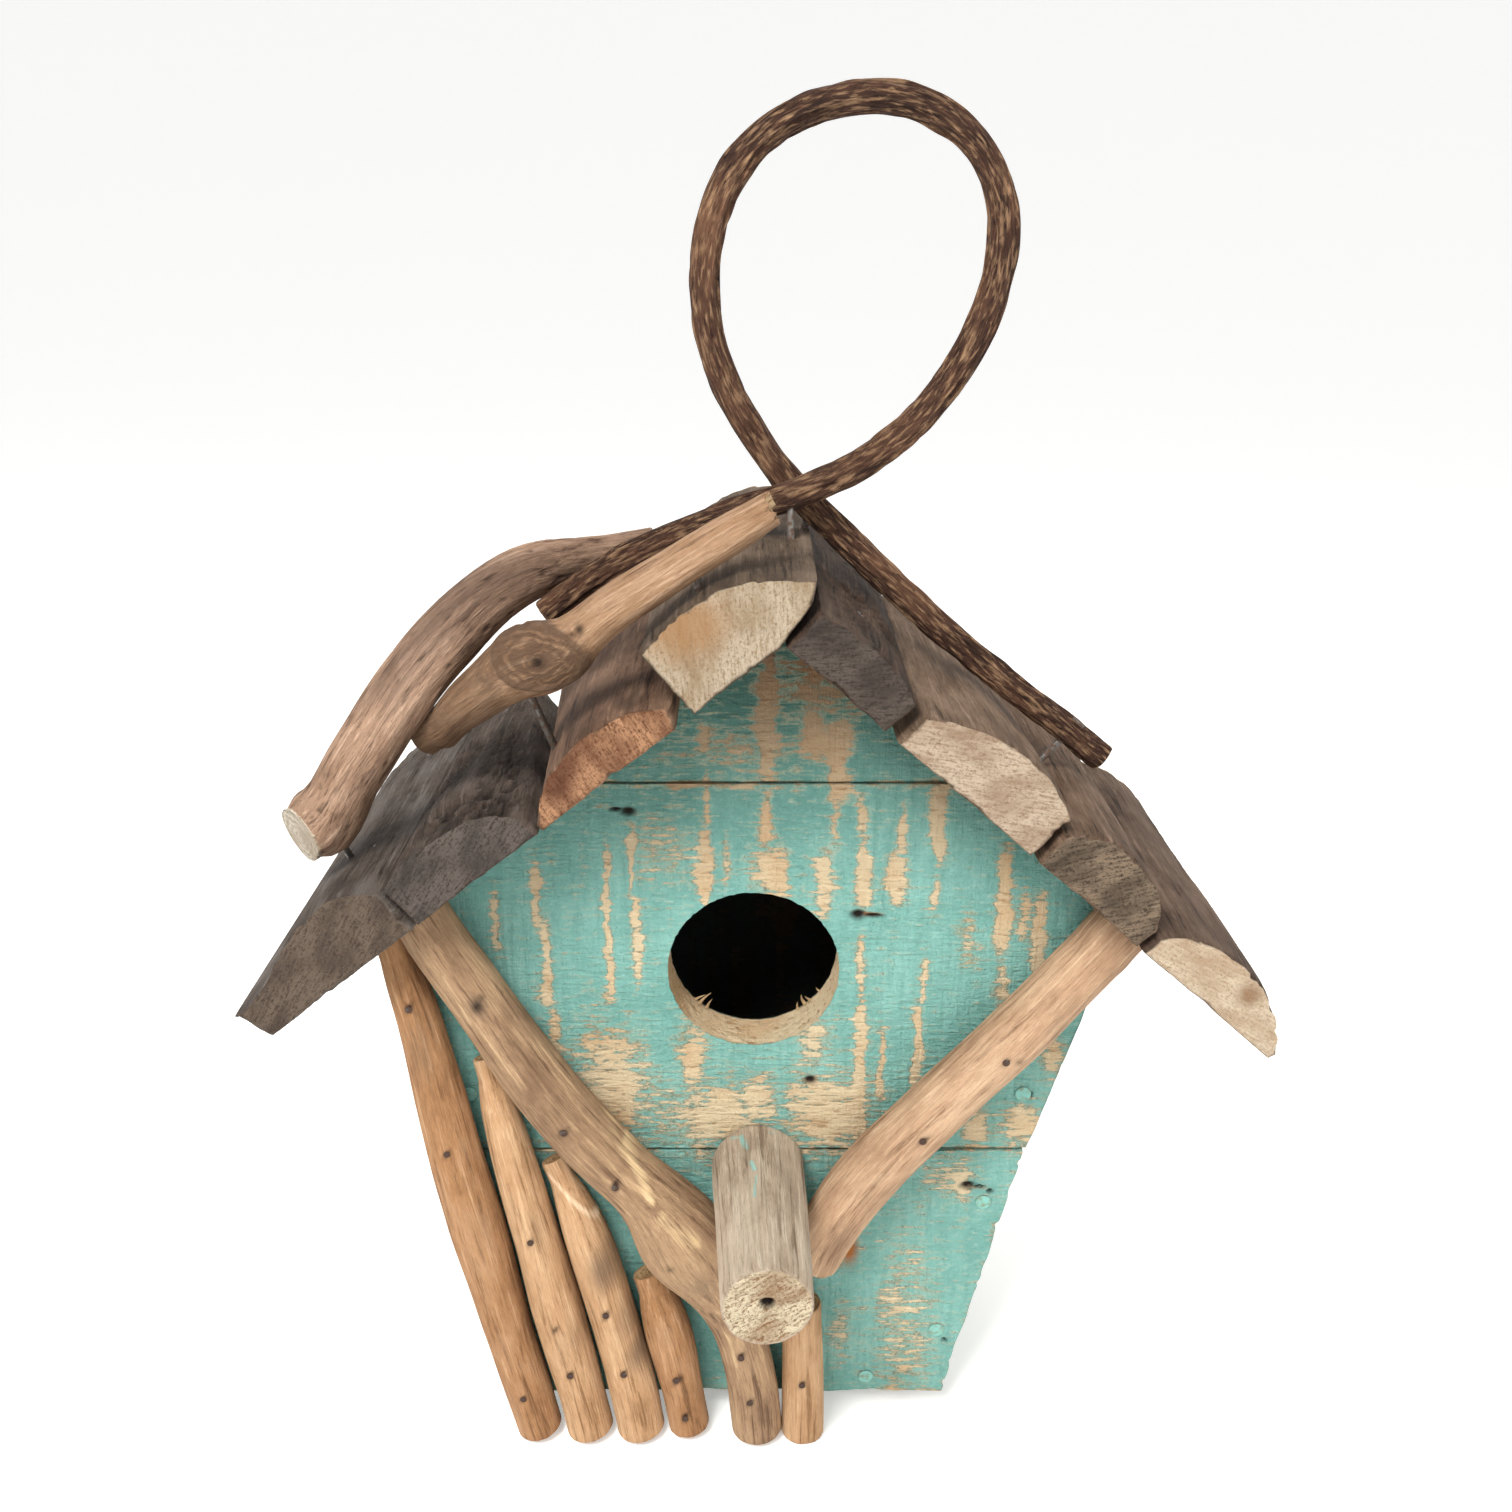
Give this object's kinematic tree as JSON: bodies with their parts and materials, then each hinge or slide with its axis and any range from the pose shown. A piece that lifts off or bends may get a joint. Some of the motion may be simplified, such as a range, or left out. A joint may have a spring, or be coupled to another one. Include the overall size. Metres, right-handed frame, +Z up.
{
  "type": "birdhouse",
  "caption": "Hanging birdhouse of painted rough boards with a half-log slat roof, driftwood trim, a round perch and a bent vine hanging loop, with a swivelling clean-out cover at the back.",
  "frame": {"origin": "the hang point, at the top of the inside of the vine loop, where a hook carries the house", "axes": "-Y out of the entrance hole, +Z up along the hanging line, +X to the right seen from the front"},
  "size_m": [0.2225, 0.133, 0.3095],
  "materials": {
    "painted_board": "rough-sawn pine, thin aqua paint worn through in streaks",
    "side_board": "rough-sawn pine, aqua paint",
    "floor_board": "bare sawn pine",
    "cover_wood": "weathered sawn pine, eased edge",
    "steel": "bright wire nail and screw steel",
    "slat_pale": "half-log offcut, pale sawn end, weathered brown top",
    "slat_red": "half-log offcut, reddish coarse sawn end",
    "slat_grey": "half-log offcut, grey weathered",
    "vine_bark": "dark fibrous vine bark with tan flecks",
    "straw_branch": "peeled branch, straw coloured, knotted",
    "brown_driftwood": "tumbled driftwood, brown, pitted",
    "grey_driftwood": "tumbled driftwood, grey tan",
    "tan_stick": "smooth peeled stick, orange tan",
    "perch_wood": "grey weathered round peg, sawn end"
  },
  "bodies": {
    "house": {"back_board_gable": "painted_board", "back_board_lower": "painted_board", "back_board_middle": "painted_board", "bent_branch": "brown_driftwood", "box_nails": "steel", "branch_nails": "steel", "cleanout_screw": "steel", "corner_stick_left": "grey_driftwood", "floor_board": "floor_board", "front_board_gable": "painted_board", "front_board_lower": "painted_board", "front_board_middle": "painted_board", "front_branch_left": "grey_driftwood", "handle_nails": "steel", "handle_vine": "vine_bark", "knotted_branch": "straw_branch", "perch": "perch_wood", "perch_screw": "steel", "rail_right": "grey_driftwood", "roof_nails": "steel", "roof_slat_left_1": "slat_pale", "roof_slat_left_2": "slat_red", "roof_slat_left_3": "slat_grey", "roof_slat_left_4": "slat_grey", "roof_slat_right_1": "slat_grey", "roof_slat_right_2": "slat_pale", "roof_slat_right_3": "slat_grey", "roof_slat_right_4": "slat_pale", "side_board_left": "side_board", "side_board_right": "side_board", "stick_brads": "steel", "stick_centre": "tan_stick", "stick_left_1": "tan_stick", "stick_left_2": "tan_stick", "stick_left_3": "tan_stick", "stick_left_4": "tan_stick"},
    "cleanout_cover": {"cleanout_cover": "cover_wood"}
  },
  "joints": [
    {"name": "cleanout_pivot", "type": "hinge", "parent": "house", "child": "cleanout_cover", "pos_m": [-0.0245, 0.05, -0.232], "axis": [0, 1, 0], "continuous": true}
  ]
}
